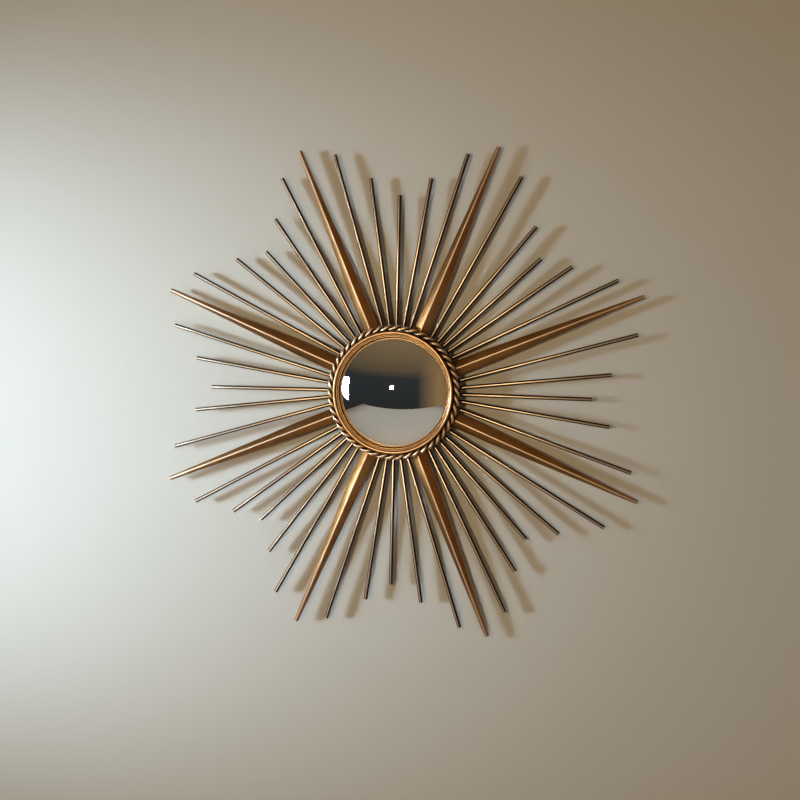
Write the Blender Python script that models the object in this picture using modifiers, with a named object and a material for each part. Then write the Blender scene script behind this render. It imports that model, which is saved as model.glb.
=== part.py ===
"""Sunburst wall mirror.

A convex glass sits in a beaded bezel with a twisted rope ring around it. Behind them
48 gilt rays lie side by side on a round backboard: 8 wide tapered rays, and between
each two of them five narrow rods, long, medium, short, medium and long. A steel bar
across a window in the backboard hangs the mirror on a nail.

Every piece hangs from one empty, in whose frame X is right, Y is up and Z comes
straight out of the wall. In the world the mirror faces -Y and the wall is Y = 0.
"""
import math

import bmesh
import bpy

MM = 0.001

# Fits
GAP = 0.3 * MM
CUT_MARGIN = 1 * MM

# Backboard, with the window that the hanging nail enters
BOARD_THICKNESS = 9 * MM
BOARD_INSET = 1.5 * MM
WINDOW_WIDTH = 40 * MM
WINDOW_HEIGHT = 24 * MM
WINDOW_BOTTOM = 20 * MM

# Hanging bar, let in flush with the back of the board, and its two screws. The notch
# in its lower edge keeps the nail in the middle.
BAR_END_SEAT = 11 * MM
BAR_HEIGHT = 12 * MM
BAR_THICKNESS = 2 * MM
BAR_TOP_COVER = 1 * MM
NOTCH_WIDTH = 8 * MM
NOTCH_MOUTH_WIDTH = 12 * MM
NOTCH_DEPTH = 1.5 * MM
SCREW_HEAD_RADIUS = 2.7 * MM
SCREW_SHANK_RADIUS = 1.3 * MM
SCREW_LENGTH = 7.5 * MM
SCREW_POINT = 2.5 * MM

# Rays, measured from the mirror's centre to their tips
WIDE_REACH = 305 * MM
LONG_REACH = 286.5 * MM
MEDIUM_REACH = 250.6 * MM
SHORT_REACH = 228.7 * MM
RAY_ROOT_SPACE = 1.2 * MM

# Section of a wide ray at its root and at its tip, and where its taper eases in
WIDE_ROOT_WIDTH = 17.4 * MM
WIDE_TIP_WIDTH = 4.6 * MM
WIDE_ROOT_HEIGHT = 8.4 * MM
WIDE_TIP_HEIGHT = 4.2 * MM
WIDE_ROOT_SIDE = 2.6 * MM
WIDE_TIP_SIDE = 2 * MM
WIDE_TAPER_START = 98 * MM
WIDE_TAPER_EASE = 40 * MM
WIDE_EASE_STEPS = 3

# Section of a narrow rod, the same from end to end
ROD_WIDTH = 4.6 * MM
ROD_HEIGHT = 4.4 * MM
ROD_SIDE = 1.8 * MM

# Flat along the crest of every ray
CREST_WIDTH = 1.2 * MM

# Convex glass
GLASS_RADIUS = 66.2 * MM
GLASS_CURVE_RADIUS = 126 * MM
GLASS_THICKNESS = 2 * MM
GLASS_FRONT_STEPS = 6
GLASS_BACK_STEPS = 2

# Bezel, which drops from its outer bead by a middle bead to the lip that holds the glass
BEZEL_LIP_COVER = 1.5 * MM
BEZEL_FLOOR_WIDTH = 4.2 * MM
BEZEL_FLOOR_THICKNESS = 1.8 * MM
BEZEL_WALL = 4.2 * MM
LIP_BEAD_RADIUS = 0.75 * MM
MIDDLE_BEAD_RADIUS = 0.7 * MM
OUTER_BEAD_RADIUS = 1.7 * MM
OUTER_BEAD_OVERHANG = 0.7 * MM
OUTER_BEAD_RISE = 2.4 * MM
OUTER_BEAD_POINTS = 6
SMALL_BEAD_POINTS = 4
BEAD_GROOVE = 0.7 * MM

# Twisted rope ring: two strands that go round each other
ROPE_RADIUS = 3.9 * MM
ROPE_STRANDS = 2
ROPE_TURNS = 23
STRAND_OFFSET = 0.8
ROPE_SECTION_POINTS = 10
ROPE_STEPS_PER_TURN = 9

# Smoothness of the turned pieces
RING_SEGMENTS = 56
SCREW_SEGMENTS = 16

# Lay-out: eight sectors, each a wide ray and the five rods clockwise from it
SECTORS = 8
FIRST_WIDE_ANGLE = 67.5
SECTOR_RODS = ("long", "medium", "short", "medium", "long")
ROD_REACH = {"long": LONG_REACH, "medium": MEDIUM_REACH, "short": SHORT_REACH}

# How far each hand-set tip strays anticlockwise from its even place, in degrees:
# the wide ray and then its five rods, sector by sector
TIP_STRAY = (
    (0.5, 0.5, -2.0, -1.5, -1.0, -2.0),
    (0.0, 0.0, -1.0, 0.0, 0.5, -1.5),
    (0.5, -0.5, -1.0, -1.0, -1.5, -1.5),
    (0.0, 2.0, 1.0, 0.0, 0.5, -1.0),
    (0.0, 0.0, 0.0, -0.5, 0.0, 0.0),
    (0.0, 0.5, -0.5, 0.5, 0.0, 0.5),
    (0.5, 2.0, 0.0, 0.0, -0.5, 0.0),
    (1.0, 1.0, 0.5, 0.0, -1.0, -1.0),
)

# Worked-out radii and levels; a level is a distance from the wall
SECTOR_ANGLE = 360 / SECTORS
SECTOR_ROOM = (
    WIDE_ROOT_WIDTH + len(SECTOR_RODS) * ROD_WIDTH + (len(SECTOR_RODS) + 1) * RAY_ROOT_SPACE
)
ROOT_RADIUS = SECTORS * SECTOR_ROOM / (2 * math.pi)
RAY_LEVEL = BOARD_THICKNESS + GAP
BEZEL_LEVEL = RAY_LEVEL + max(WIDE_ROOT_HEIGHT, ROD_HEIGHT) + GAP
FLOOR_LEVEL = BEZEL_LEVEL + BEZEL_FLOOR_THICKNESS
LIP_RADIUS = GLASS_RADIUS - BEZEL_LIP_COVER
SEAT_RADIUS = GLASS_RADIUS + GAP
WALL_RADIUS = SEAT_RADIUS + BEZEL_WALL
BEZEL_RADIUS = WALL_RADIUS + OUTER_BEAD_OVERHANG
ROPE_RING_RADIUS = WALL_RADIUS + GAP + ROPE_RADIUS
ROPE_LEVEL = BEZEL_LEVEL + ROPE_RADIUS
BOARD_RADIUS = ROPE_RING_RADIUS + ROPE_RADIUS - BOARD_INSET
REAR_CURVE_RADIUS = GLASS_CURVE_RADIUS - GLASS_THICKNESS
GLASS_CENTRE_LEVEL = FLOOR_LEVEL + GAP - math.sqrt(REAR_CURVE_RADIUS**2 - GLASS_RADIUS**2)
WINDOW_TOP = WINDOW_BOTTOM + WINDOW_HEIGHT
BAR_TOP = WINDOW_TOP + BAR_TOP_COVER
BAR_BOTTOM = BAR_TOP - BAR_HEIGHT
BAR_WIDTH = WINDOW_WIDTH + 2 * BAR_END_SEAT
SCREW_PLACES = {
    side: (sign * (WINDOW_WIDTH + BAR_END_SEAT) / 2, (BAR_TOP + BAR_BOTTOM) / 2)
    for side, sign in (("left", -1), ("right", 1))
}


def make_collection(name):
    """A new collection under the scene's own."""
    group = bpy.data.collections.new(name)
    bpy.context.scene.collection.children.link(group)
    return group


def make_material(name, colour, metallic, roughness):
    """A Principled material of one colour."""
    material = bpy.data.materials.new(name)
    material.use_nodes = True
    shader = material.node_tree.nodes["Principled BSDF"]
    shader.inputs["Base Color"].default_value = (*colour, 1)
    shader.inputs["Metallic"].default_value = metallic
    shader.inputs["Roughness"].default_value = roughness
    return material


for old in list(bpy.data.objects):
    bpy.data.objects.remove(old, do_unlink=True)

PARTS = make_collection("sunburst_wall_mirror")
CUTTERS = make_collection("cutters")
GILT = make_material("antique_gilt_metal", (0.60, 0.37, 0.13), 1.0, 0.32)
MIRROR = make_material("silvered_glass", (0.86, 0.87, 0.86), 1.0, 0.04)
BLACK_WOOD = make_material("black_stained_wood", (0.035, 0.03, 0.026), 0.0, 0.6)
STEEL = make_material("zinc_plated_steel", (0.55, 0.55, 0.53), 1.0, 0.4)

WALL_FRAME = bpy.data.objects.new("wall_frame", None)
WALL_FRAME.rotation_euler = (math.pi / 2, 0, 0)
PARTS.objects.link(WALL_FRAME)


def add_mesh(name, bm, material, group=PARTS):
    """Turn a bmesh into an object under the wall frame."""
    bmesh.ops.recalc_face_normals(bm, faces=bm.faces)
    mesh = bpy.data.meshes.new(name)
    bm.to_mesh(mesh)
    bm.free()
    if material:
        mesh.materials.append(material)
    piece = bpy.data.objects.new(name, mesh)
    piece.parent = WALL_FRAME
    group.objects.link(piece)
    return piece


def cut(piece, name, bm):
    """Subtract a cutter shape from a piece with a live Boolean."""
    cutter = add_mesh(name, bm, None, CUTTERS)
    cutter.hide_render = True
    cutter.display_type = "WIRE"
    boolean = piece.modifiers.new(name, "BOOLEAN")
    boolean.operation = "DIFFERENCE"
    boolean.solver = "EXACT"
    boolean.object = cutter


def box(x_range, y_range, z_range):
    """A box between two limits on each axis."""
    bm = bmesh.new()
    bmesh.ops.create_cube(bm, size=1)
    for vert in bm.verts:
        for axis, (low, high) in enumerate((x_range, y_range, z_range)):
            vert.co[axis] = high if vert.co[axis] > 0 else low
    return bm


def cone(place, levels, radii, segments):
    """A capped cone or cylinder along Z between two levels."""
    bm = bmesh.new()
    bmesh.ops.create_cone(
        bm, cap_ends=True, segments=segments,
        radius1=radii[0], radius2=radii[1], depth=levels[1] - levels[0],
    )
    bmesh.ops.translate(bm, verts=bm.verts, vec=(*place, sum(levels) / 2))
    return bm


def turned(name, profile, material, closed=False, place=(0, 0), segments=RING_SEGMENTS):
    """Turn a profile of (radius, level) points about the Z line through a place."""
    bm = bmesh.new()
    verts = [bm.verts.new((radius, 0, level)) for radius, level in profile]
    for first, second in zip(verts, verts[1:]):
        bm.edges.new((first, second))
    if closed:
        bm.edges.new((verts[-1], verts[0]))
    piece = add_mesh(name, bm, material)
    piece.location = (*place, 0)
    screw = piece.modifiers.new("turn", "SCREW")
    screw.steps = segments
    screw.render_steps = segments
    screw.use_merge_vertices = True
    screw.merge_threshold = 0.01 * MM


def arc(centre, size, start, end, points):
    """Points on a circle in the (radius, level) plane, with its angles in degrees."""
    result = []
    for step in range(points):
        angle = math.radians(start + (end - start) * step / (points - 1))
        result.append((centre[0] + size * math.cos(angle), centre[1] + size * math.sin(angle)))
    return result


def make_backboard():
    """Round board with the nail's window, the bar's seat and the two screws' holes."""
    disc = cone((0, 0), (0, BOARD_THICKNESS), (BOARD_RADIUS, BOARD_RADIUS), RING_SEGMENTS)
    board = add_mesh("backboard", disc, BLACK_WOOD)
    cut(board, "window_cutter", box(
        (-WINDOW_WIDTH / 2, WINDOW_WIDTH / 2),
        (WINDOW_BOTTOM, WINDOW_TOP),
        (-CUT_MARGIN, BOARD_THICKNESS + CUT_MARGIN),
    ))
    cut(board, "bar_seat_cutter", box(
        (-BAR_WIDTH / 2 - GAP, BAR_WIDTH / 2 + GAP),
        (BAR_BOTTOM - GAP, BAR_TOP + GAP),
        (-CUT_MARGIN, BAR_THICKNESS + GAP),
    ))
    hole_radius = SCREW_SHANK_RADIUS + GAP
    for side, place in SCREW_PLACES.items():
        levels = (-CUT_MARGIN, SCREW_LENGTH + GAP)
        hole = cone(place, levels, (hole_radius, hole_radius), SCREW_SEGMENTS)
        cut(board, "screw_hole_cutter_" + side, hole)


def make_hanging_bar():
    """Flat notched steel bar with two countersunk holes, and the screws in them."""
    outline = (
        (-BAR_WIDTH / 2, BAR_BOTTOM),
        (-NOTCH_MOUTH_WIDTH / 2, BAR_BOTTOM),
        (-NOTCH_WIDTH / 2, BAR_BOTTOM + NOTCH_DEPTH),
        (NOTCH_WIDTH / 2, BAR_BOTTOM + NOTCH_DEPTH),
        (NOTCH_MOUTH_WIDTH / 2, BAR_BOTTOM),
        (BAR_WIDTH / 2, BAR_BOTTOM),
        (BAR_WIDTH / 2, BAR_TOP),
        (-BAR_WIDTH / 2, BAR_TOP),
    )
    sections = [[(x, y, level) for x, y in outline] for level in (0, BAR_THICKNESS)]
    bar = add_mesh("hanging_bar", loft(sections), STEEL)
    flare = (SCREW_HEAD_RADIUS - SCREW_SHANK_RADIUS) * CUT_MARGIN / BAR_THICKNESS
    for side, place in SCREW_PLACES.items():
        levels = (-CUT_MARGIN, BAR_THICKNESS + CUT_MARGIN)
        radii = (SCREW_HEAD_RADIUS + GAP + flare, SCREW_SHANK_RADIUS + GAP - flare)
        cut(bar, "countersink_cutter_" + side, cone(place, levels, radii, SCREW_SEGMENTS))
        screw_profile = [
            (0, SCREW_LENGTH),
            (SCREW_SHANK_RADIUS, SCREW_LENGTH - SCREW_POINT),
            (SCREW_SHANK_RADIUS, BAR_THICKNESS),
            (SCREW_HEAD_RADIUS, 0),
            (0, 0),
        ]
        turned("bar_screw_" + side, screw_profile, STEEL, place=place, segments=SCREW_SEGMENTS)


def glass_level(radius, curve_radius):
    """Level of the glass's front or back face at a radius."""
    return GLASS_CENTRE_LEVEL + math.sqrt(curve_radius**2 - radius**2)


def make_glass():
    """Domed glass of even thickness: the front face outwards, then the back face inwards."""
    profile = []
    for step in range(GLASS_FRONT_STEPS + 1):
        radius = GLASS_RADIUS * step / GLASS_FRONT_STEPS
        profile.append((radius, glass_level(radius, GLASS_CURVE_RADIUS)))
    for step in range(GLASS_BACK_STEPS + 1):
        radius = GLASS_RADIUS * (1 - step / GLASS_BACK_STEPS)
        profile.append((radius, glass_level(radius, REAR_CURVE_RADIUS)))
    turned("convex_glass", profile, MIRROR)


def make_bezel():
    """Beaded ring whose groove holds the rim of the glass."""
    lip_under = glass_level(LIP_RADIUS, GLASS_CURVE_RADIUS) + GAP
    lip_level = lip_under + LIP_BEAD_RADIUS
    middle_level = lip_level + OUTER_BEAD_RISE / 2
    lip_side = LIP_RADIUS + 2 * LIP_BEAD_RADIUS
    outer_side = BEZEL_RADIUS - 2 * OUTER_BEAD_RADIUS
    middle = (lip_side + outer_side) / 2
    overhang_share = OUTER_BEAD_OVERHANG / OUTER_BEAD_RADIUS
    wall_angle = -math.degrees(math.acos(1 - overhang_share))

    profile = arc(
        (BEZEL_RADIUS - OUTER_BEAD_RADIUS, lip_level + OUTER_BEAD_RISE),
        OUTER_BEAD_RADIUS, 180, wall_angle, OUTER_BEAD_POINTS,
    )
    profile += [
        (WALL_RADIUS, BEZEL_LEVEL),
        (SEAT_RADIUS - BEZEL_FLOOR_WIDTH, BEZEL_LEVEL),
        (SEAT_RADIUS - BEZEL_FLOOR_WIDTH, FLOOR_LEVEL),
        (SEAT_RADIUS, FLOOR_LEVEL),
        (SEAT_RADIUS, glass_level(SEAT_RADIUS, GLASS_CURVE_RADIUS) + GAP),
        (LIP_RADIUS, lip_under),
    ]
    lip_bead = (LIP_RADIUS + LIP_BEAD_RADIUS, lip_level)
    profile += arc(lip_bead, LIP_BEAD_RADIUS, 180, 0, SMALL_BEAD_POINTS)
    profile.append(((lip_side + middle - MIDDLE_BEAD_RADIUS) / 2, lip_level - BEAD_GROOVE))
    profile += arc((middle, middle_level), MIDDLE_BEAD_RADIUS, 180, 0, SMALL_BEAD_POINTS)
    profile.append(((middle + MIDDLE_BEAD_RADIUS + outer_side) / 2, middle_level - BEAD_GROOVE))
    turned("bezel", profile, GILT, closed=True)


def rope_share(angle):
    """Outline of overlapping round strands at an angle, as a share of the rope's radius."""
    pitch = 2 * math.pi / ROPE_STRANDS
    off = (angle + pitch / 2) % pitch - pitch / 2
    strand_reach = math.sqrt(1 - (STRAND_OFFSET * math.sin(off)) ** 2)
    return (STRAND_OFFSET * math.cos(off) + strand_reach) / (1 + STRAND_OFFSET)


def make_rope_ring():
    """A torus whose section, two round strands, turns as it goes round the ring."""
    bpy.ops.mesh.primitive_torus_add(
        major_segments=ROPE_TURNS * ROPE_STEPS_PER_TURN, minor_segments=ROPE_SECTION_POINTS,
        major_radius=ROPE_RING_RADIUS, minor_radius=ROPE_RADIUS,
    )
    rope = bpy.context.active_object
    rope.name = "rope_ring"
    rope.data.materials.append(GILT)
    for vert in rope.data.vertices:
        around = math.atan2(vert.co.y, vert.co.x)
        outward = math.hypot(vert.co.x, vert.co.y) - ROPE_RING_RADIUS
        turn = math.atan2(vert.co.z, outward)
        size = ROPE_RADIUS * rope_share(turn - ROPE_TURNS * around)
        radius = ROPE_RING_RADIUS + size * math.cos(turn)
        vert.co = (radius * math.cos(around), radius * math.sin(around), size * math.sin(turn))
    for group in list(rope.users_collection):
        group.objects.unlink(rope)
    PARTS.objects.link(rope)
    rope.parent = WALL_FRAME
    rope.location = (0, 0, ROPE_LEVEL)


def ray_section(distance, width, side, height):
    """Roof-shaped section with a flat along its crest, across a ray that runs along X."""
    outline = (
        (-width / 2, 0), (width / 2, 0), (width / 2, side),
        (CREST_WIDTH / 2, height), (-CREST_WIDTH / 2, height), (-width / 2, side),
    )
    return [(distance, y, z) for y, z in outline]


def loft(sections):
    """Join sections of equally many points with faces, and cap both ends."""
    bm = bmesh.new()
    rings = [[bm.verts.new(point) for point in section] for section in sections]
    for ring, following in zip(rings, rings[1:]):
        for index, vert in enumerate(ring):
            after = (index + 1) % len(ring)
            bm.faces.new((vert, ring[after], following[after], following[index]))
    bm.faces.new(rings[0])
    bm.faces.new(rings[-1])
    return bm


def wide_taper(distance, length):
    """Share of a wide ray's taper that is done at a distance from its root."""
    start = WIDE_TAPER_START - ROOT_RADIUS
    run = distance - start
    if run <= 0:
        return 0
    whole = length - start - WIDE_TAPER_EASE / 2
    if run < WIDE_TAPER_EASE:
        return run**2 / (2 * WIDE_TAPER_EASE) / whole
    return (run - WIDE_TAPER_EASE / 2) / whole


def wide_ray_mesh(length):
    """Wide ray: even from its root to where the taper eases in, then straight to its tip."""
    start = WIDE_TAPER_START - ROOT_RADIUS
    stops = [0]
    stops += [start + WIDE_TAPER_EASE * step / WIDE_EASE_STEPS for step in range(WIDE_EASE_STEPS + 1)]
    stops.append(length)
    sections = []
    for distance in stops:
        share = wide_taper(distance, length)
        sections.append(ray_section(
            distance,
            WIDE_ROOT_WIDTH + (WIDE_TIP_WIDTH - WIDE_ROOT_WIDTH) * share,
            WIDE_ROOT_SIDE + (WIDE_TIP_SIDE - WIDE_ROOT_SIDE) * share,
            WIDE_ROOT_HEIGHT + (WIDE_TIP_HEIGHT - WIDE_ROOT_HEIGHT) * share,
        ))
    return loft(sections)


def rod_mesh(length):
    """Narrow rod of one section."""
    return loft([ray_section(distance, ROD_WIDTH, ROD_SIDE, ROD_HEIGHT) for distance in (0, length)])


def place_ray(name, make, root_angle, tip_angle, reach):
    """Make a ray from its root, under the bezel, to its tip."""
    root = (ROOT_RADIUS * math.cos(root_angle), ROOT_RADIUS * math.sin(root_angle))
    tip = (reach * math.cos(tip_angle), reach * math.sin(tip_angle))
    ray = add_mesh(name, make(math.dist(root, tip)), GILT)
    ray.location = (*root, RAY_LEVEL)
    ray.rotation_euler = (0, 0, math.atan2(tip[1] - root[1], tip[0] - root[0]))


def make_rays():
    """Lay the rays out clockwise, packed evenly at their roots and fanned out at their tips."""
    tip_pitch = SECTOR_ANGLE / (len(SECTOR_RODS) + 1)
    first_rod = (WIDE_ROOT_WIDTH + ROD_WIDTH) / 2 + RAY_ROOT_SPACE
    made = {"long": 0, "medium": 0, "short": 0}
    for sector in range(SECTORS):
        middle = FIRST_WIDE_ANGLE - SECTOR_ANGLE * sector
        stray = TIP_STRAY[sector % len(TIP_STRAY)]
        name = "wide_ray_" + str(sector + 1)
        tip_angle = math.radians(middle + stray[0])
        place_ray(name, wide_ray_mesh, math.radians(middle), tip_angle, WIDE_REACH)
        for index, kind in enumerate(SECTOR_RODS):
            root_offset = (first_rod + index * (ROD_WIDTH + RAY_ROOT_SPACE)) / ROOT_RADIUS
            tip_angle = math.radians(middle - tip_pitch * (index + 1) + stray[index + 1])
            made[kind] += 1
            name = kind + "_rod_" + str(made[kind])
            place_ray(name, rod_mesh, math.radians(middle) - root_offset, tip_angle, ROD_REACH[kind])


make_backboard()
make_hanging_bar()
make_rays()
make_bezel()
make_glass()
make_rope_ring()
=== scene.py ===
"""Sunburst wall mirror: how it looks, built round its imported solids.

The file follows the mirror from the wall outwards: the camera, then the backboard, the
hanging bar and its screws, the rays, the bezel, the glass and the rope ring, and last the
wall, the floor, the lights and the studio. In the world the mirror faces -Y, and its back
is at Y = 0 with the wall just behind it.
"""

import math

import bmesh
import bpy
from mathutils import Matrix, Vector


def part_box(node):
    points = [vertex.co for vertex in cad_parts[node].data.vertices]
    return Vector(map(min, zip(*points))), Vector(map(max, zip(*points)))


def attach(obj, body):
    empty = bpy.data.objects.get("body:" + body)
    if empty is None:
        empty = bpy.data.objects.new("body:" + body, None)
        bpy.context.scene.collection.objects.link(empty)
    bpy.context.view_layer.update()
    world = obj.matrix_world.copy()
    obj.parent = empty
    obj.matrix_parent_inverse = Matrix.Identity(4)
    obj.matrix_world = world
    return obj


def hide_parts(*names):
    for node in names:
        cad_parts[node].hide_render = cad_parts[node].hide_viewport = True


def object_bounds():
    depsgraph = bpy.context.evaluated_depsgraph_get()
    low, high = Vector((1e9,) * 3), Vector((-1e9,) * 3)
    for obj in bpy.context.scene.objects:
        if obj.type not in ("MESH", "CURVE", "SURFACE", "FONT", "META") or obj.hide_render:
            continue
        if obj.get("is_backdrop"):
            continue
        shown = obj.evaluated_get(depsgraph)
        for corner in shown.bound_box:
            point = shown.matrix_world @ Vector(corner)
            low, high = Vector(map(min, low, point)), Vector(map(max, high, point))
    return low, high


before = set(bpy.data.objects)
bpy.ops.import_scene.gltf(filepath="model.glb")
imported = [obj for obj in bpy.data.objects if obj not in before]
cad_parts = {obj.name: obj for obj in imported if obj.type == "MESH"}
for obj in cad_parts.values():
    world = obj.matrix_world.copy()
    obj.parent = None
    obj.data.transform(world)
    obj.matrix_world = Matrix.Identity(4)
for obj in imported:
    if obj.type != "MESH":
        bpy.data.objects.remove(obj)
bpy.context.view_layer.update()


# Camera at the photograph's viewing angle: a little to the right of the mirror and
# above its middle. Its place and turn were fitted to the tips of the rays.
CAMERA_PLACE = (0.3001, -1.3287, 0.0881)
CAMERA_TURN = (85.883, -1.324, 12.673)
CAMERA_LENS = 51.98
CAMERA_SENSOR = 36

lens = bpy.data.cameras.new("camera")
lens.lens = CAMERA_LENS
lens.sensor_width = CAMERA_SENSOR
camera = bpy.data.objects.new("camera", lens)
camera.location = CAMERA_PLACE
camera.rotation_euler = [math.radians(angle) for angle in CAMERA_TURN]
bpy.context.scene.collection.objects.link(camera)
bpy.context.scene.camera = camera


# Backboard: a round of black-stained wood, flat against the wall, with a window for the
# nail. It is turned on a lathe, its edges are eased with paper, and the rays' roots are
# fixed to its front.
MM = 0.001
BOARD_EDGE = 0.7 * MM
BOARD_STAIN = (0.022, 0.018, 0.015)
BOARD_WORN = (0.10, 0.062, 0.036)
BOARD_ROUGHNESS = (0.48, 0.72)
WOOD_GRAIN_SCALE = (18, 160, 420)
WOOD_GRAIN_SHARE = 0.5
WOOD_GRAIN_DEPTH = 0.15 * MM
WOOD_GRAIN_STRENGTH = 0.35
WOOD_CLOUD_SCALE = 22
JOIN_DISTANCE = 0.01 * MM
FLAT_ANGLE = 1
CORNER_ANGLE = 25
MIX_SHARE, MIX_FIRST, MIX_SECOND, MIX_COLOUR = 0, 6, 7, 2


def whole_faces(node):
    """A bmesh of a CAD node whose loose triangles are joined into whole flat faces."""
    bm = bmesh.new()
    bm.from_mesh(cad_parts[node].data)
    bmesh.ops.remove_doubles(bm, verts=bm.verts, dist=JOIN_DISTANCE)
    bmesh.ops.dissolve_limit(
        bm, angle_limit=math.radians(FLAT_ANGLE), use_dissolve_boundaries=False,
        verts=bm.verts, edges=bm.edges,
    )
    return bm


def ease_edges(bm, width, segments=2, angle=CORNER_ANGLE):
    """Round every edge that is sharper than an angle, and mark the middle of each as worn."""
    sharp = [e for e in bm.edges if len(e.link_faces) == 2 and e.calc_face_angle() > math.radians(angle)]
    made = bmesh.ops.bevel(
        bm, geom=sharp, affect="EDGES", offset=width, offset_type="OFFSET",
        segments=segments, profile=0.5, material=-1, clamp_overlap=True,
    )
    worn = bm.verts.layers.float.new("worn")
    rounded = set(made["faces"])
    for vert in bm.verts:
        if rounded.issuperset(vert.link_faces):
            vert[worn] = 1


def add_piece(name, bm, material, node, smooth_angle=40):
    """Make a bmesh a piece that rides on the body and stands for a CAD node."""
    mesh = bpy.data.meshes.new(name)
    bm.to_mesh(mesh)
    bm.free()
    mesh.materials.append(material)
    mesh.shade_smooth()
    mesh.set_sharp_from_angle(angle=math.radians(smooth_angle))
    piece = bpy.data.objects.new(name, mesh)
    bpy.context.scene.collection.objects.link(piece)
    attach(piece, "root")
    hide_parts(node)


def new_material(name, metallic):
    """A node material, with a way to add a node and link its inputs."""
    material = bpy.data.materials.new(name)
    material.use_nodes = True
    tree = material.node_tree
    shader = tree.nodes["Principled BSDF"]
    shader.inputs["Metallic"].default_value = metallic

    def add(kind, values=None, **settings):
        node = tree.nodes.new("ShaderNode" + kind)
        for key, value in settings.items():
            setattr(node, key, value)
        for key, value in (values or {}).items():
            if isinstance(value, bpy.types.NodeSocket):
                tree.links.new(value, node.inputs[key])
            else:
                node.inputs[key].default_value = value
        return node

    def set_shader(**sockets):
        for key, value in sockets.items():
            tree.links.new(value, shader.inputs[key.replace("_", " ")])

    return material, add, set_shader


def stretched(add, source, scale):
    """Coordinates scaled by a different amount on each axis."""
    return add("Mapping", {"Vector": source, "Scale": scale}).outputs["Vector"]


def between(add, share, low, high):
    """A number that goes from low to high as a share goes from 0 to 1."""
    return add("MapRange", {"Value": share, "To Min": low, "To Max": high}).outputs["Result"]


def blended(add, share, first, second):
    """A colour between two, which are colours or sockets."""
    mix = add("Mix", data_type="RGBA")
    for index, value in ((MIX_SHARE, share), (MIX_FIRST, first), (MIX_SECOND, second)):
        if isinstance(value, bpy.types.NodeSocket):
            mix.id_data.links.new(value, mix.inputs[index])
        else:
            mix.inputs[index].default_value = value if index == MIX_SHARE else (*value, 1)
    return mix.outputs[MIX_COLOUR]


def make_stained_wood():
    """Black stain over a fine grain that runs across the board, rubbed brown at the edges."""
    material, add, set_shader = new_material("black_stained_wood", 0)
    place = add("TexCoord").outputs["Object"]
    grain = add("TexNoise", {
        "Vector": stretched(add, place, WOOD_GRAIN_SCALE), "Scale": 1, "Detail": 7, "Roughness": 0.62,
    }).outputs["Fac"]
    cloud = add("TexNoise", {"Vector": place, "Scale": WOOD_CLOUD_SCALE, "Detail": 3}).outputs["Fac"]
    worn = add("Attribute", attribute_name="worn").outputs["Fac"]
    rubbed = add("Math", {0: worn, 1: cloud}, operation="MULTIPLY").outputs[0]
    streaked = blended(add, between(add, grain, 0, WOOD_GRAIN_SHARE), BOARD_STAIN, BOARD_WORN)
    bump = add("Bump", {"Strength": WOOD_GRAIN_STRENGTH, "Distance": WOOD_GRAIN_DEPTH, "Height": grain})
    set_shader(
        Base_Color=blended(add, rubbed, streaked, BOARD_WORN),
        Roughness=between(add, cloud, *BOARD_ROUGHNESS),
        Normal=bump.outputs["Normal"],
    )
    return material


board = whole_faces("backboard")
ease_edges(board, BOARD_EDGE)
add_piece("stained_backboard", board, make_stained_wood(), "backboard")


# Hanging bar: a strip of zinc-plated steel with a notch for the nail, punched out and
# let in flush across the board's window.
BAR_EDGE = 0.2 * MM
ZINC = (0.50, 0.50, 0.48)
ZINC_DULL = (0.30, 0.30, 0.295)
ZINC_ROUGHNESS = (0.5, 0.32)
ZINC_CLOUD_SCALE = 190
ROLLED_MARK_SCALE = (60, 900, 2600)
ROLLED_MARK_DEPTH = 0.03 * MM
ROLLED_MARK_STRENGTH = 0.2


def make_zinc():
    """Dull zinc plate, clouded, with fine rolling marks."""
    material, add, set_shader = new_material("zinc_plate", 1)
    place = add("TexCoord").outputs["Object"]
    cloud = add("TexNoise", {"Vector": place, "Scale": ZINC_CLOUD_SCALE, "Detail": 4}).outputs["Fac"]
    rolled = add("TexNoise", {
        "Vector": stretched(add, place, ROLLED_MARK_SCALE), "Scale": 1, "Detail": 4,
    }).outputs["Fac"]
    bump = add("Bump", {
        "Strength": ROLLED_MARK_STRENGTH, "Distance": ROLLED_MARK_DEPTH, "Height": rolled,
    })
    set_shader(
        Base_Color=blended(add, cloud, ZINC_DULL, ZINC),
        Roughness=between(add, cloud, *ZINC_ROUGHNESS),
        Normal=bump.outputs["Normal"],
    )
    return material


zinc = make_zinc()
bar = whole_faces("hanging_bar")
ease_edges(bar, BAR_EDGE)
add_piece("zinc_hanging_bar", bar, zinc, "hanging_bar")


# Bar screws: two countersunk steel wood screws with a cross recess, driven through the
# bar's ends into the board.
RECESS_WIDTH = 0.8 * MM
RECESS_LENGTH = 3.2 * MM
RECESS_DEPTH = 0.9 * MM
HEAD_LEVEL_ROOM = 0.05 * MM


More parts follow.
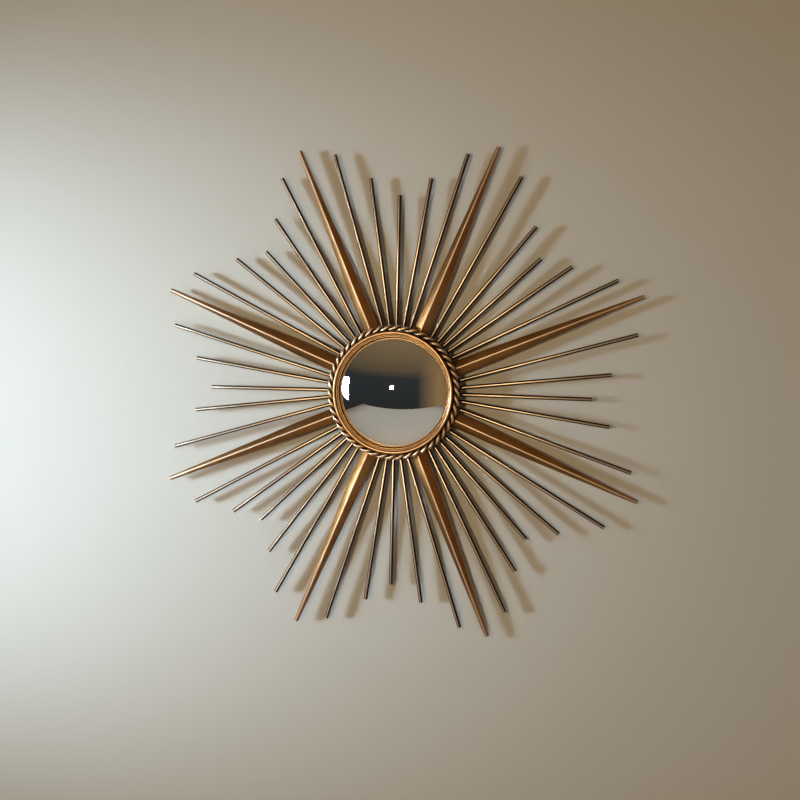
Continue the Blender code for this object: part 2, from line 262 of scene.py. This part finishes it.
def cut_recess(bm, middle):
    """Sink a cross into the flat head, whose face lies on the wall."""
    for axis in (Vector((1, 0, 0)), Vector((0, 0, 1))):
        for offset in (-RECESS_LENGTH / 2, -RECESS_WIDTH / 2, RECESS_WIDTH / 2, RECESS_LENGTH / 2):
            bmesh.ops.bisect_plane(
                bm, geom=bm.verts[:] + bm.edges[:] + bm.faces[:], dist=JOIN_DISTANCE / 10,
                plane_co=middle + axis * offset, plane_no=axis,
            )
    cross = []
    for face in bm.faces:
        place = face.calc_center_median() - middle
        reach = sorted((abs(place.x), abs(place.z)))
        on_head = all(abs(vert.co.y) < HEAD_LEVEL_ROOM for vert in face.verts)
        if on_head and reach[0] < RECESS_WIDTH / 2 and reach[1] < RECESS_LENGTH / 2:
            cross.append(face)
    sunk = bmesh.ops.extrude_face_region(bm, geom=cross)
    verts = [item for item in sunk["geom"] if isinstance(item, bmesh.types.BMVert)]
    bmesh.ops.translate(bm, verts=verts, vec=(0, -RECESS_DEPTH, 0))


for side in ("left", "right"):
    screw = whole_faces("bar_screw_" + side)
    low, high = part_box("bar_screw_" + side)
    cut_recess(screw, Vector(((low.x + high.x) / 2, 0, (low.z + high.z) / 2)))
    add_piece("zinc_screw_" + side, screw, zinc, "bar_screw_" + side)


# Rays: 48 gilt metal bars, drawn to a low roof shape and filed along the crest, with the
# wide ones drawn out to a taper. The rods are toned far darker than the wide rays, the
# crests of all are toned bright, and all are fixed side by side to the board under the bezel.
WIDE_EDGE = 0.22 * MM
ROD_EDGE = 0.18 * MM
GILT_BRIGHT = (0.92, 0.75, 0.57)
# Painted shade: the darkest tone, for the grooves, the bead feet and the lays.
GILT_PAINTED_SHADE = (0.06, 0.022, 0.010)
WIDE_GILT = ((0.49, 0.26, 0.10), (0.26, 0.115, 0.038))
# The rods are toned far darker than the wide rays.
ROD_GILT = ((0.085, 0.030, 0.012), (0.050, 0.017, 0.007))
WIDE_ROUGHNESS = 0.37
ROD_ROUGHNESS = 0.25
WORN_ROUGHNESS = 0.16
CLOUD_ROUGHNESS = 0.05
SPECK_ROUGHNESS = 0.03
GILT_CLOUD_SCALE = 34
GILT_SPECK_SCALE = 700
TURNED_MARK_SCALE = 420
DRAWN_MARK_SCALE = (6, 2600, 1)
GILT_MARK_DEPTH = 0.02 * MM
GILT_MARK_STRENGTH = 0.04
CLOUD_FROM, CLOUD_TO = -0.35, 1.1
WORN_SHARE = 0.6
CREST_FACING = 0.95
END_SHARE = 12
END_POINTS = 4


def lay_grain(bm):
    """Give a ray a UV map whose U runs along it and whose V runs across it, in metres."""
    verts = sorted(bm.verts, key=lambda vert: math.hypot(vert.co.x, vert.co.z))
    end = max(END_POINTS, len(verts) // END_SHARE)
    root = sum((vert.co for vert in verts[:end]), Vector()) / end
    tip = sum((vert.co for vert in verts[-end:]), Vector()) / end
    along = tip - root
    along.y = 0
    along.normalize()
    across = along.cross(Vector((0, 1, 0)))
    grain = bm.loops.layers.uv.new("grain")
    for face in bm.faces:
        for loop in face.loops:
            place = loop.vert.co - root
            loop[grain].uv = (place.dot(along), place.dot(across) + place.y)


def make_gilt(name, tones, roughness, drawn):
    """Satin antique gilding, clouded between two tones, rubbed bright, and painted dark as shade in its
    hollows.

    Drawn metal has its grain along a UV map."""
    material, add, set_shader = new_material(name, 1)
    place = add("TexCoord").outputs["Object"]
    cloud = add("TexNoise", {
        "Vector": place, "Scale": GILT_CLOUD_SCALE, "Detail": 5, "Roughness": 0.6,
    }).outputs["Fac"]
    speck = add("TexNoise", {"Vector": place, "Scale": GILT_SPECK_SCALE, "Detail": 3}).outputs["Fac"]
    if drawn:
        run = add("UVMap", uv_map="grain").outputs["UV"]
        marks = add("TexNoise", {
            "Vector": stretched(add, run, DRAWN_MARK_SCALE), "Scale": 1, "Detail": 3, "Roughness": 0.5,
        }).outputs["Fac"]
    else:
        marks = add("TexNoise", {"Vector": place, "Scale": TURNED_MARK_SCALE, "Detail": 5}).outputs["Fac"]
    worn = add("Attribute", attribute_name="worn").outputs["Fac"]
    # Painted shade: the marked hollows are coloured dark as if in shade.
    painted_shade = add("Attribute", attribute_name="painted_shade").outputs["Fac"]
    body = blended(add, between(add, cloud, CLOUD_FROM, CLOUD_TO), tones[1], tones[0])
    rubbed = blended(add, between(add, worn, 0, WORN_SHARE), body, GILT_BRIGHT)
    bump = add("Bump", {"Strength": GILT_MARK_STRENGTH, "Distance": GILT_MARK_DEPTH, "Height": marks})
    satin = add("Math", {
        0: between(add, cloud, roughness + CLOUD_ROUGHNESS, roughness - CLOUD_ROUGHNESS),
        1: between(add, speck, -SPECK_ROUGHNESS, SPECK_ROUGHNESS),
    }).outputs[0]
    rough = add("Math", {0: satin, 1: between(add, worn, 0, WORN_ROUGHNESS)}).outputs[0]
    set_shader(
        Base_Color=blended(add, painted_shade, rubbed, GILT_PAINTED_SHADE),
        Roughness=rough,
        Normal=bump.outputs["Normal"],
    )
    return material


def tone_crest_bright(bm):
    """Mark the flat crest of a ray, which faces away from the wall, to be toned bright."""
    bm.normal_update()
    worn = bm.verts.layers.float["worn"]
    for face in bm.faces:
        if face.normal.y < -CREST_FACING:
            for vert in face.verts:
                vert[worn] = 1


wide_gilt = make_gilt("wide_gilt", WIDE_GILT, WIDE_ROUGHNESS, True)
rod_gilt = make_gilt("rod_gilt", ROD_GILT, ROD_ROUGHNESS, True)
RAY_KINDS = (
    ("wide_ray", 8, WIDE_EDGE, wide_gilt), ("long_rod", 16, ROD_EDGE, rod_gilt),
    ("medium_rod", 16, ROD_EDGE, rod_gilt), ("short_rod", 8, ROD_EDGE, rod_gilt),
)
for kind, count, edge, gilt in RAY_KINDS:
    for number in range(1, count + 1):
        node = kind + "_" + str(number)
        ray = whole_faces(node)
        ease_edges(ray, edge)
        tone_crest_bright(ray)
        lay_grain(ray)
        add_piece("gilt_" + node, ray, gilt, node, smooth_angle=30)


# Bezel: a turned ring of gilt metal that drops from a stout outer bead, by a fine middle
# bead, to the thin rounded lip that holds the glass. Its grooves and the feet of its beads
# are painted dark as shade.
BEZEL_STEPS = 240
BEAD_POINTS = 13
LIP_BEAD = 0.75 * MM
MIDDLE_BEAD = 0.7 * MM
OUTER_BEAD = 1.7 * MM
BEZEL_GROOVE = 0.75 * MM
BEZEL_WALL = 4.2 * MM
BEZEL_FLOOR = 1.8 * MM
BEZEL_FLOOR_WIDTH = 4.2 * MM
LIP_COVER = 1.5 * MM
OVERHANG = 0.7 * MM
GLASS_CURVE = 126 * MM
GLASS_THICKNESS = 2 * MM
FIT = 0.3 * MM
RING_GILT = ((0.66, 0.45, 0.27), (0.40, 0.225, 0.11))
RING_ROUGHNESS = 0.33
# How far up a bead's side its painted shade reaches.
PAINTED_SHADE_REACH = 1.2

bezel_low, bezel_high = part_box("bezel")
glass_low, glass_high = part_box("convex_glass")
bezel_radius = bezel_high.x
bezel_back = -bezel_high.y
glass_radius = glass_high.x
glass_centre = -glass_low.y - GLASS_CURVE


def glass_level(radius, curve):
    """Level of a face of the glass, from the wall, at a radius."""
    return glass_centre + math.sqrt(curve**2 - radius**2)


def bead(centre, size, start, end, points=BEAD_POINTS):
    """Points round a bead, as radius, level and painted shade: its foot is painted dark as shade, its
    crown not.
    """
    angles = [math.radians(start + (end - start) * step / (points - 1)) for step in range(points)]
    return [(
        centre[0] + size * math.cos(a), centre[1] + size * math.sin(a),
        min(1, max(0, 1 - PAINTED_SHADE_REACH * math.sin(a))),
    ) for a in angles]


def spun(profile, steps, closed):
    """Spin a profile of radius, level and painted shade about the mirror's axis."""
    bm = bmesh.new()
    painted_shade = bm.verts.layers.float.new("painted_shade")
    bm.verts.layers.float.new("worn")
    verts = []
    for radius, level, shade_amount in profile:
        vert = bm.verts.new((radius, -level, 0))
        vert[painted_shade] = shade_amount
        verts.append(vert)
    edges = [bm.edges.new(pair) for pair in zip(verts, verts[1:])]
    if closed:
        edges.append(bm.edges.new((verts[-1], verts[0])))
    bmesh.ops.spin(
        bm, geom=verts + edges, cent=(0, 0, 0), axis=(0, 1, 0), angle=2 * math.pi,
        steps=steps, use_merge=True,
    )
    bmesh.ops.remove_doubles(bm, verts=bm.verts, dist=JOIN_DISTANCE)
    bmesh.ops.recalc_face_normals(bm, faces=bm.faces)
    return bm


def bezel_profile():
    """Section of the bezel: outer bead, back, floor and seat, lip bead and middle bead."""
    lip = glass_radius - LIP_COVER
    seat = glass_radius + FIT
    floor = bezel_back + BEZEL_FLOOR
    under = glass_level(lip, GLASS_CURVE) + FIT
    crown = under + LIP_BEAD
    outer_middle = (bezel_radius - OUTER_BEAD, -bezel_low.y - OUTER_BEAD)
    inner_side = lip + 2 * LIP_BEAD
    outer_side = bezel_radius - 2 * OUTER_BEAD
    middle = (inner_side + outer_side) / 2
    ledge = (crown + outer_middle[1]) / 2
    wall_angle = -math.degrees(math.acos(1 - OVERHANG / OUTER_BEAD))
    points = bead(outer_middle, OUTER_BEAD, 180, wall_angle, 2 * BEAD_POINTS)
    points += [
        (seat + BEZEL_WALL, bezel_back, 1),
        (seat - BEZEL_FLOOR_WIDTH, bezel_back, 1),
        (seat - BEZEL_FLOOR_WIDTH, floor, 1),
        (seat, floor, 1),
        (seat, glass_level(seat, GLASS_CURVE) + FIT, 1),
        (lip, under, 1),
    ]
    points += bead((lip + LIP_BEAD, crown), LIP_BEAD, 180, 0)
    points.append(((inner_side + middle - MIDDLE_BEAD) / 2, crown - BEZEL_GROOVE, 1))
    points += bead((middle, ledge), MIDDLE_BEAD, 180, 0)
    points.append(((middle + MIDDLE_BEAD + outer_side) / 2, ledge - BEZEL_GROOVE, 1))
    return points


turned_gilt = make_gilt("turned_gilt", RING_GILT, RING_ROUGHNESS, False)
bezel = spun(bezel_profile(), BEZEL_STEPS, True)
add_piece("gilt_bezel", bezel, turned_gilt, "bezel", smooth_angle=50)


# Convex glass: a round of domed mirror glass, silvered and held in the bezel's seat. The
# silver has gone a little dull at the rim.
GLASS_STEPS = 192
GLASS_FRONT_POINTS = 40
GLASS_BACK_POINTS = 8
SILVER = (0.86, 0.87, 0.86)
SILVER_DULL = (0.46, 0.43, 0.38)
GLASS_ROUGHNESS = (0.015, 0.16)
RIM_START = 57 * MM
SPOT_SCALE = 240
SPOT_FROM, SPOT_TO = -0.4, 1.0
WAVE_SCALE = 16
WAVE_DEPTH = 0.05 * MM
WAVE_STRENGTH = 0.05


def make_silvered_glass():
    """Polished mirror with the faintest waviness, duller in spots close to its rim."""
    material, add, set_shader = new_material("silvered_glass", 1)
    place = add("TexCoord").outputs["Object"]
    parts = add("SeparateXYZ", {"Vector": place})
    flat = add("CombineXYZ", {"X": parts.outputs["X"], "Y": parts.outputs["Z"]}).outputs["Vector"]
    reach = add("VectorMath", {0: flat}, operation="LENGTH").outputs["Value"]
    rim = add("MapRange", {
        "Value": reach, "From Min": RIM_START, "From Max": glass_radius,
    }).outputs["Result"]
    spots = add("TexNoise", {"Vector": place, "Scale": SPOT_SCALE, "Detail": 5}).outputs["Fac"]
    dulled = add("Math", {
        0: rim, 1: between(add, spots, SPOT_FROM, SPOT_TO),
    }, operation="MULTIPLY", use_clamp=True)
    wave = add("TexNoise", {"Vector": place, "Scale": WAVE_SCALE, "Detail": 1}).outputs["Fac"]
    bump = add("Bump", {"Strength": WAVE_STRENGTH, "Distance": WAVE_DEPTH, "Height": wave})
    set_shader(
        Base_Color=blended(add, dulled.outputs[0], SILVER, SILVER_DULL),
        Roughness=between(add, dulled.outputs[0], *GLASS_ROUGHNESS),
        Normal=bump.outputs["Normal"],
    )
    return material


front = [glass_radius * step / GLASS_FRONT_POINTS for step in range(GLASS_FRONT_POINTS + 1)]
back = [glass_radius * (1 - step / GLASS_BACK_POINTS) for step in range(GLASS_BACK_POINTS + 1)]
glass_profile = [(radius, glass_level(radius, GLASS_CURVE), 0) for radius in front]
glass_profile += [(radius, glass_level(radius, GLASS_CURVE - GLASS_THICKNESS), 0) for radius in back]
glass = spun(glass_profile, GLASS_STEPS, False)
add_piece("silvered_glass", glass, make_silvered_glass(), "convex_glass")


# Rope ring: two stout round gilt strands laid up into a rope and closed into a ring, cast
# in one and soldered round the bezel. The lays between the strands are painted dark as shade.
ROPE_STRANDS = 2
ROPE_TURNS = 23
ROPE_STEPS = 20
STRAND_SIDES = 5
STRAND_SHARE = 0.555
LAY_EDGE, LAY_FADE = 0.82, 0.24
CROWN_EDGE, CROWN_FADE = 0.88, 0.12

rope_low, rope_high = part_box("rope_ring")
rope_radius = (rope_high.y - rope_low.y) / 2
rope_middle = rope_high.x - rope_radius
rope_level = -(rope_low.y + rope_high.y) / 2
strand_radius = rope_radius * STRAND_SHARE
strand_offset = rope_radius - strand_radius


def lay_strand(index):
    """One closed strand, as a curve that winds round the ring's middle line."""
    curve = bpy.data.curves.new("strand", "CURVE")
    curve.dimensions = "3D"
    curve.bevel_depth = strand_radius
    curve.bevel_resolution = STRAND_SIDES
    spline = curve.splines.new("POLY")
    spline.use_cyclic_u = True
    count = ROPE_TURNS * ROPE_STEPS
    spline.points.add(count - 1)
    for step, point in enumerate(spline.points):
        around = 2 * math.pi * step / count
        turn = ROPE_TURNS * around + 2 * math.pi * index / ROPE_STRANDS
        radius = rope_middle + strand_offset * math.cos(turn)
        level = rope_level + strand_offset * math.sin(turn)
        point.co = (radius * math.cos(around), -level, radius * math.sin(around), 1)
    return curve


rope = bmesh.new()
for index in range(ROPE_STRANDS):
    strand = bpy.data.objects.new("strand", lay_strand(index))
    bpy.context.scene.collection.objects.link(strand)
    shaped = strand.evaluated_get(bpy.context.evaluated_depsgraph_get())
    rope.from_mesh(bpy.data.meshes.new_from_object(shaped))
    bpy.data.objects.remove(strand)
bmesh.ops.recalc_face_normals(rope, faces=rope.faces)
# Painted shade: the lays between the strands are marked to be coloured dark.
painted_shade_layer = rope.verts.layers.float.new("painted_shade")
worn_layer = rope.verts.layers.float.new("worn")
for vert in rope.verts:
    out = math.hypot(vert.co.x, vert.co.z) - rope_middle
    reach = math.hypot(out, -vert.co.y - rope_level) / rope_radius
    vert[painted_shade_layer] = min(1, max(0, (LAY_EDGE - reach) / LAY_FADE))
    vert[worn_layer] = min(1, max(0, (reach - CROWN_EDGE) / CROWN_FADE))
add_piece("gilt_rope_ring", rope, turned_gilt, "rope_ring")


# Wall: smooth painted plaster that the mirror hangs on. Its paint faces the mirror only,
# so that the mirror's back shows from behind.
WALL_HALF_WIDTH = 1.6
WALL_TOP = 1.3
FLOOR_LEVEL = -1.5
WALL_BEHIND = 0.4 * MM
WALL_PAINT = (0.46, 0.445, 0.42)
WALL_ROUGHNESS = (0.55, 0.75)
WALL_PATCH_SCALE = 3
WALL_PATCH_SHARE = 0.25
PATCH_SHADE = 0.9
ROLLER_SCALE = 260
ROLLER_DEPTH = 0.2 * MM
ROLLER_STRENGTH = 0.12

wall_material, add, set_shader = new_material("wall_paint", 0)
place = add("TexCoord").outputs["Object"]
roller = add("TexNoise", {"Vector": place, "Scale": ROLLER_SCALE, "Detail": 4}).outputs["Fac"]
patch = add("TexNoise", {"Vector": place, "Scale": WALL_PATCH_SCALE, "Detail": 2}).outputs["Fac"]
wall_bump = add("Bump", {"Strength": ROLLER_STRENGTH, "Distance": ROLLER_DEPTH, "Height": roller})
wall_shade = tuple(PATCH_SHADE * channel for channel in WALL_PAINT)
set_shader(
    Base_Color=blended(add, between(add, patch, 0, WALL_PATCH_SHARE), WALL_PAINT, wall_shade),
    Roughness=between(add, roller, *WALL_ROUGHNESS),
    Normal=wall_bump.outputs["Normal"],
)
tree = wall_material.node_tree
output = tree.nodes["Material Output"]
one_side = add("MixShader", {
    0: add("NewGeometry").outputs["Backfacing"],
    1: tree.nodes["Principled BSDF"].outputs["BSDF"],
    2: add("BsdfTransparent").outputs["BSDF"],
})
tree.links.new(one_side.outputs["Shader"], output.inputs["Surface"])


def add_sheet(name, corners, material):
    """A flat rectangle of the studio, which isn't part of the mirror."""
    bm = bmesh.new()
    bm.faces.new([bm.verts.new(corner) for corner in corners])
    mesh = bpy.data.meshes.new(name)
    bm.to_mesh(mesh)
    bm.free()
    mesh.materials.append(material)
    sheet = bpy.data.objects.new(name, mesh)
    bpy.context.scene.collection.objects.link(sheet)
    sheet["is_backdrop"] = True
    return sheet


wall = add_sheet("wall", [
    (-WALL_HALF_WIDTH, WALL_BEHIND, FLOOR_LEVEL), (WALL_HALF_WIDTH, WALL_BEHIND, FLOOR_LEVEL),
    (WALL_HALF_WIDTH, WALL_BEHIND, WALL_TOP), (-WALL_HALF_WIDTH, WALL_BEHIND, WALL_TOP),
], wall_material)
wall.visible_shadow = False


# Floor: a plain pale floor, well below the mirror.
FLOOR_HALF = 4
FLOOR_PAINT = (0.62, 0.60, 0.56)
FLOOR_ROUGHNESS = (0.5, 0.7)
FLOOR_CLOUD_SCALE = 2
FLOOR_CLOUD_SHARE = 0.3

floor_material, add, set_shader = new_material("pale_floor", 0)
place = add("TexCoord").outputs["Object"]
floor_cloud = add("TexNoise", {"Vector": place, "Scale": FLOOR_CLOUD_SCALE, "Detail": 4}).outputs["Fac"]
floor_shade = tuple(PATCH_SHADE * channel for channel in FLOOR_PAINT)
set_shader(
    Base_Color=blended(add, between(add, floor_cloud, 0, FLOOR_CLOUD_SHARE), FLOOR_PAINT, floor_shade),
    Roughness=between(add, floor_cloud, *FLOOR_ROUGHNESS),
)
add_sheet("floor", [
    (-FLOOR_HALF, -FLOOR_HALF, FLOOR_LEVEL), (FLOOR_HALF, -FLOOR_HALF, FLOOR_LEVEL),
    (FLOOR_HALF, FLOOR_HALF, FLOOR_LEVEL), (-FLOOR_HALF, FLOOR_HALF, FLOOR_LEVEL),
], floor_material)


# Lights: a tall soft cool light on the left, a small warm one near the mirror's axis, a
# weak one that shows the mirror's back, and a wide one overhead aimed at the floor.
def add_light(name, size, place, target, power, colour, spread=180):
    """A soft area light that points at a target."""
    light = bpy.data.lights.new(name, "AREA")
    light.shape = "RECTANGLE"
    light.size, light.size_y = size
    light.energy = power
    light.color = colour
    light.spread = math.radians(spread)
    lamp = bpy.data.objects.new(name, light)
    lamp.location = place
    lamp.rotation_euler = (Vector(target) - Vector(place)).to_track_quat("-Z", "Y").to_euler()
    bpy.context.scene.collection.objects.link(lamp)


add_light(
    "soft_left", size=(0.34, 0.75), place=(-2.0, -0.8, -0.05), target=(-0.5, 0, -0.07),
    power=3.5, colour=(0.70, 0.88, 1.0), spread=24,
)
add_light(
    "warm_front", size=(0.1, 0.1), place=(-0.28, -1.6, 0.085), target=(0, 0, 0),
    power=10.4, colour=(1.0, 0.73, 0.38),
)
add_light(
    "soft_back", size=(1.2, 1.2), place=(0, 2.2, 0), target=(0, 0, 0),
    power=9, colour=(1.0, 0.97, 0.93),
)
add_light(
    "floor_front", size=(7, 4), place=(0, -2.6, 1.2), target=(0, -2.6, FLOOR_LEVEL),
    power=42, colour=(0.9, 0.96, 1.0), spread=60,
)


# Studio around it all: pale behind the mirror, and for reflections a dark middle between
# a warm top and a brown bottom, and a tan side on the right.
STUDIO_PALE = (0.62, 0.60, 0.57)
STUDIO_TAN = (0.25, 0.155, 0.07)
TAN_FROM, TAN_TO = 0.3, 0.65
STUDIO_BANDS = (
    (0.0, (0.035, 0.026, 0.018)), (0.30, (0.03, 0.024, 0.018)), (0.36, (0.022, 0.024, 0.026)),
    (0.61, (0.028, 0.031, 0.033)), (0.68, (0.10, 0.072, 0.042)), (1.0, (0.24, 0.165, 0.085)),
)

world = bpy.data.worlds.new("studio")
world.use_nodes = True
bpy.context.scene.world = world
nodes, links = world.node_tree.nodes, world.node_tree.links
direction = nodes.new("ShaderNodeSeparateXYZ")
links.new(nodes.new("ShaderNodeTexCoord").outputs["Generated"], direction.inputs["Vector"])
height = nodes.new("ShaderNodeMapRange")
height.inputs["From Min"].default_value = -1
links.new(direction.outputs["Z"], height.inputs["Value"])
bands = nodes.new("ShaderNodeValToRGB")
links.new(height.outputs["Result"], bands.inputs["Fac"])
stops = bands.color_ramp.elements
while len(stops) < len(STUDIO_BANDS):
    stops.new(0.5)
for stop, (position, colour) in zip(stops, STUDIO_BANDS):
    stop.position = position
    stop.color = (*colour, 1)
rightward = nodes.new("ShaderNodeMapRange")
rightward.inputs["From Min"].default_value = TAN_FROM
rightward.inputs["From Max"].default_value = TAN_TO
links.new(direction.outputs["X"], rightward.inputs["Value"])
shaded = nodes.new("ShaderNodeMix")
shaded.data_type = "RGBA"
links.new(rightward.outputs["Result"], shaded.inputs[MIX_SHARE])
links.new(bands.outputs["Color"], shaded.inputs[MIX_FIRST])
shaded.inputs[MIX_SECOND].default_value = (*STUDIO_TAN, 1)
seen = nodes.new("ShaderNodeMix")
seen.data_type = "RGBA"
links.new(nodes.new("ShaderNodeLightPath").outputs["Is Camera Ray"], seen.inputs[MIX_SHARE])
links.new(shaded.outputs[MIX_COLOUR], seen.inputs[MIX_FIRST])
seen.inputs[MIX_SECOND].default_value = (*STUDIO_PALE, 1)
links.new(seen.outputs[MIX_COLOUR], nodes["Background"].inputs["Color"])

# The picture shows its colours as they are, with no film curve over them.
bpy.context.scene.view_settings.view_transform = "Standard"

low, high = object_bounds()
